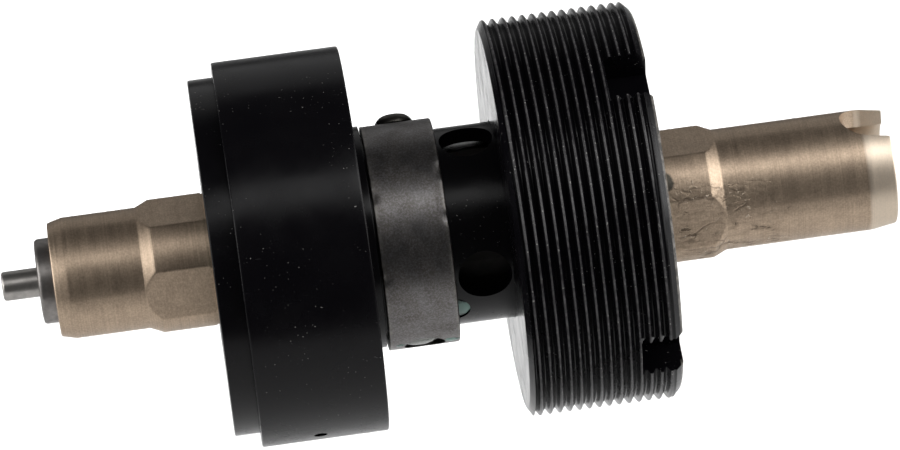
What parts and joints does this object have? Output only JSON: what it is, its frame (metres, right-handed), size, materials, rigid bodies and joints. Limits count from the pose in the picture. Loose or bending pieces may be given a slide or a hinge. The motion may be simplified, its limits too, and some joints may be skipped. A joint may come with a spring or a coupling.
{
  "type": "bottom bracket",
  "caption": "Bottom bracket with a smooth sliding cup, a threaded notched cup, a perforated sleeve with lock collar, and a hollow square-seat axle turning on ball bearings.",
  "frame": {"origin": "on the axle's centre line, midway between the outboard faces of the two cups", "axes": "+X along the axle towards the threaded cup, +Z towards the axle's open drive slot"},
  "size_m": [0.1342, 0.06, 0.06],
  "materials": {
    "black_anodised": "turned aluminium, gloss black anodised",
    "bronze_anodised": "fine-turned aluminium, bronze hard anodised, satin",
    "collar_steel": "dark blued steel, mottled and worn at the edges",
    "screw_steel": "black oxide",
    "turned_steel": "plain turned, satin",
    "bearing_steel": "ground and polished",
    "nylon_cage": "moulded, matte",
    "shield_rubber": "moulded, matte",
    "spring_steel": "phosphated",
    "seal_rubber": "moulded, satin"
  },
  "bodies": {
    "fixed": {"left_cup": "black_anodised", "right_threaded_cup": "black_anodised", "centre_sleeve": "black_anodised", "lock_collar": "collar_steel", "set_screw_top": "screw_steel", "set_screw_bottom": "screw_steel", "left_outer_race": "bearing_steel", "left_shield_inboard": "shield_rubber", "left_shield_outboard": "shield_rubber", "left_cup_circlip": "spring_steel", "left_dust_seal": "seal_rubber", "right_outer_race": "bearing_steel", "right_shield_inboard": "shield_rubber", "right_shield_outboard": "shield_rubber", "right_cup_circlip": "spring_steel", "right_dust_seal": "seal_rubber"},
    "axle": {"axle": "bronze_anodised", "axle_end_plug": "turned_steel", "inner_spacer": "bronze_anodised", "left_inner_race": "bearing_steel", "left_axle_circlip": "spring_steel", "right_inner_race": "bearing_steel", "right_axle_circlip": "spring_steel"},
    "push_rod": {"push_rod": "turned_steel"},
    "left_cage": {"left_ball_cage": "nylon_cage", "left_ball_01": "bearing_steel", "left_ball_02": "bearing_steel", "left_ball_03": "bearing_steel", "left_ball_04": "bearing_steel", "left_ball_05": "bearing_steel", "left_ball_06": "bearing_steel", "left_ball_07": "bearing_steel", "left_ball_08": "bearing_steel", "left_ball_09": "bearing_steel", "left_ball_10": "bearing_steel", "left_ball_11": "bearing_steel"},
    "right_cage": {"right_ball_cage": "nylon_cage", "right_ball_01": "bearing_steel", "right_ball_02": "bearing_steel", "right_ball_03": "bearing_steel", "right_ball_04": "bearing_steel", "right_ball_05": "bearing_steel", "right_ball_06": "bearing_steel", "right_ball_07": "bearing_steel", "right_ball_08": "bearing_steel", "right_ball_09": "bearing_steel", "right_ball_10": "bearing_steel", "right_ball_11": "bearing_steel"}
  },
  "joints": [
    {"name": "axle_spin", "type": "hinge", "parent": "fixed", "child": "axle", "pos_m": [0, 0, 0], "axis": [1, 0, 0], "continuous": true},
    {"name": "push_rod_slide", "type": "slide", "parent": "axle", "child": "push_rod", "axis": [1, 0, 0], "range_m": [0, 0.004]},
    {"name": "left_cage_spin", "type": "hinge", "parent": "fixed", "child": "left_cage", "pos_m": [-0.0247, 0, 0], "axis": [1, 0, 0], "continuous": true},
    {"name": "right_cage_spin", "type": "hinge", "parent": "fixed", "child": "right_cage", "pos_m": [0.0247, 0, 0], "axis": [1, 0, 0], "continuous": true}
  ],
  "couplings": [
    {"joint": "left_cage_spin", "follows": "axle_spin", "ratio": 0.43846},
    {"joint": "right_cage_spin", "follows": "axle_spin", "ratio": 0.43846}
  ]
}
